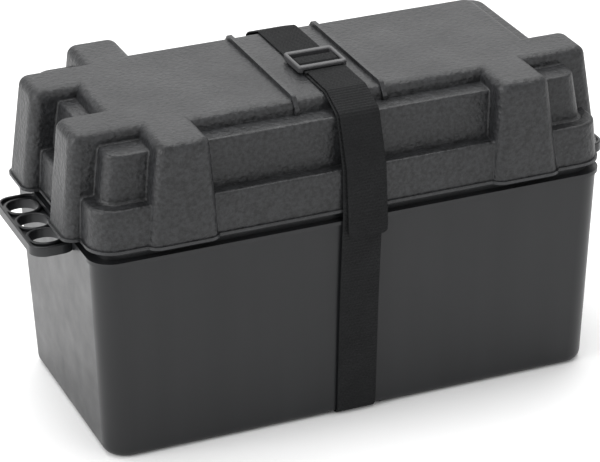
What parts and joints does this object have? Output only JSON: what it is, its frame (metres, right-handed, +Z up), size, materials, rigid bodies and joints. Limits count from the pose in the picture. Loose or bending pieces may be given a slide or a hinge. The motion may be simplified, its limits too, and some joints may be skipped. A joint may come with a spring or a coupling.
{
  "type": "deep cycle battery",
  "caption": "Strapped two-piece battery box with a stepped lid and end handles, holding a flooded deep cycle battery.",
  "frame": {"origin": "centre of the footprint on the surface that the box stands on", "axes": "+X along the box's length, +Y from the front with the strap's free end to the back, +Z up"},
  "size_m": [0.473, 0.2209, 0.2626],
  "materials": {
    "box_plastic": "semi-gloss black moulded plastic",
    "lid_plastic": "fine speckled grain, black",
    "webbing": "black flat-woven webbing",
    "buckle": "satin dark grey",
    "case_plastic": "satin grey polypropylene",
    "cap_plastic": "gloss red",
    "seal_rubber": "matt",
    "positive_plate": "matt pasted lead dioxide",
    "negative_plate": "matt pasted lead",
    "separator": "matt",
    "lead": "dull cast lead",
    "steel": "zinc-plated",
    "handle_plastic": "satin black"
  },
  "bodies": {
    "box": {"box_base": "box_plastic", "box_handle_left": "box_plastic", "box_handle_right": "box_plastic", "strap_bottom": "webbing", "battery_case": "case_plastic", "battery_cover": "case_plastic", "positive_plates_1": "positive_plate", "positive_plates_2": "positive_plate", "positive_plates_3": "positive_plate", "positive_plates_4": "positive_plate", "positive_plates_5": "positive_plate", "positive_plates_6": "positive_plate", "negative_plates_1": "negative_plate", "negative_plates_2": "negative_plate", "negative_plates_3": "negative_plate", "negative_plates_4": "negative_plate", "negative_plates_5": "negative_plate", "negative_plates_6": "negative_plate", "separators_1": "separator", "separators_2": "separator", "separators_3": "separator", "separators_4": "separator", "separators_5": "separator", "separators_6": "separator", "positive_bridges": "lead", "negative_bridges": "lead", "cell_links": "lead", "positive_post": "lead", "negative_post": "lead", "positive_stud": "steel", "negative_stud": "steel", "positive_washer": "steel", "negative_washer": "steel"},
    "lid": {"box_lid": "lid_plastic"},
    "strap_front_side": {"strap_front": "webbing", "strap_tail": "webbing"},
    "strap_front_crown": {"strap_front_top": "webbing"},
    "strap_back_side": {"strap_back": "webbing"},
    "strap_back_crown": {"strap_back_top": "webbing", "buckle_frame": "buckle"},
    "clamp_bar": {"buckle_clamp_bar": "buckle"},
    "cap_1": {"vent_cap_1": "cap_plastic", "vent_seal_1": "seal_rubber"},
    "cap_2": {"vent_cap_2": "cap_plastic", "vent_seal_2": "seal_rubber"},
    "cap_3": {"vent_cap_3": "cap_plastic", "vent_seal_3": "seal_rubber"},
    "cap_4": {"vent_cap_4": "cap_plastic", "vent_seal_4": "seal_rubber"},
    "cap_5": {"vent_cap_5": "cap_plastic", "vent_seal_5": "seal_rubber"},
    "cap_6": {"vent_cap_6": "cap_plastic", "vent_seal_6": "seal_rubber"},
    "positive_nut": {"positive_wing_nut": "steel"},
    "negative_nut": {"negative_wing_nut": "steel"},
    "handle_left": {"battery_handle_left": "handle_plastic"},
    "handle_right": {"battery_handle_right": "handle_plastic"}
  },
  "joints": [
    {"name": "lid_lift", "type": "slide", "parent": "box", "child": "lid", "axis": [0, 0, 1], "range_m": [0, 0.16], "deforming": ["strap_front", "strap_back", "strap_tail", "strap_front_top", "strap_back_top"]},
    {"name": "strap_front_open", "type": "hinge", "parent": "box", "child": "strap_front_side", "pos_m": [0.005, -0.0978, 0.0012], "axis": [1, 0, 0], "range_deg": [0, 84]},
    {"name": "strap_front_unfold", "type": "hinge", "parent": "strap_front_side", "child": "strap_front_crown", "pos_m": [0.005, -0.067, 0.2569], "axis": [1, 0, 0], "range_deg": [0, 110]},
    {"name": "strap_back_open", "type": "hinge", "parent": "box", "child": "strap_back_side", "pos_m": [0.005, 0.0978, 0.0012], "axis": [1, 0, 0], "range_deg": [-84, 0]},
    {"name": "strap_back_unfold", "type": "hinge", "parent": "strap_back_side", "child": "strap_back_crown", "pos_m": [0.005, 0.067, 0.2569], "axis": [1, 0, 0], "range_deg": [-110, 0]},
    {"name": "clamp_slide", "type": "slide", "parent": "strap_back_crown", "child": "clamp_bar", "axis": [0, -1, 0], "range_m": [0, 0.0025]},
    {"name": "cap_1_turn", "type": "hinge", "parent": "box", "child": "cap_1", "pos_m": [-0.1355, 0, 0.219], "axis": [0, 0, 1], "range_deg": [0, 90]},
    {"name": "cap_2_turn", "type": "hinge", "parent": "box", "child": "cap_2", "pos_m": [-0.0813, 0, 0.219], "axis": [0, 0, 1], "range_deg": [0, 90]},
    {"name": "cap_3_turn", "type": "hinge", "parent": "box", "child": "cap_3", "pos_m": [-0.0271, 0, 0.219], "axis": [0, 0, 1], "range_deg": [0, 90]},
    {"name": "cap_4_turn", "type": "hinge", "parent": "box", "child": "cap_4", "pos_m": [0.0271, 0, 0.219], "axis": [0, 0, 1], "range_deg": [0, 90]},
    {"name": "cap_5_turn", "type": "hinge", "parent": "box", "child": "cap_5", "pos_m": [0.0813, 0, 0.219], "axis": [0, 0, 1], "range_deg": [0, 90]},
    {"name": "cap_6_turn", "type": "hinge", "parent": "box", "child": "cap_6", "pos_m": [0.1355, 0, 0.219], "axis": [0, 0, 1], "range_deg": [0, 90]},
    {"name": "positive_nut_turn", "type": "hinge", "parent": "box", "child": "positive_nut", "pos_m": [-0.1375, 0.045, 0.23], "axis": [0, 0, 1], "continuous": true},
    {"name": "negative_nut_turn", "type": "hinge", "parent": "box", "child": "negative_nut", "pos_m": [0.1375, 0.045, 0.23], "axis": [0, 0, 1], "continuous": true},
    {"name": "handle_left_swing", "type": "hinge", "parent": "box", "child": "handle_left", "pos_m": [-0.1695, 0, 0.184], "axis": [0, 1, 0], "range_deg": [0, 95]},
    {"name": "handle_right_swing", "type": "hinge", "parent": "box", "child": "handle_right", "pos_m": [0.1695, 0, 0.184], "axis": [0, -1, 0], "range_deg": [0, 95]}
  ],
  "couplings": [
    {"joint": "strap_front_open", "follows": "lid_lift", "rad_per_m": 9.1621},
    {"joint": "strap_front_unfold", "follows": "lid_lift", "rad_per_m": 11.998},
    {"joint": "strap_back_open", "follows": "lid_lift", "rad_per_m": -9.1621},
    {"joint": "strap_back_unfold", "follows": "lid_lift", "rad_per_m": -11.998}
  ]
}
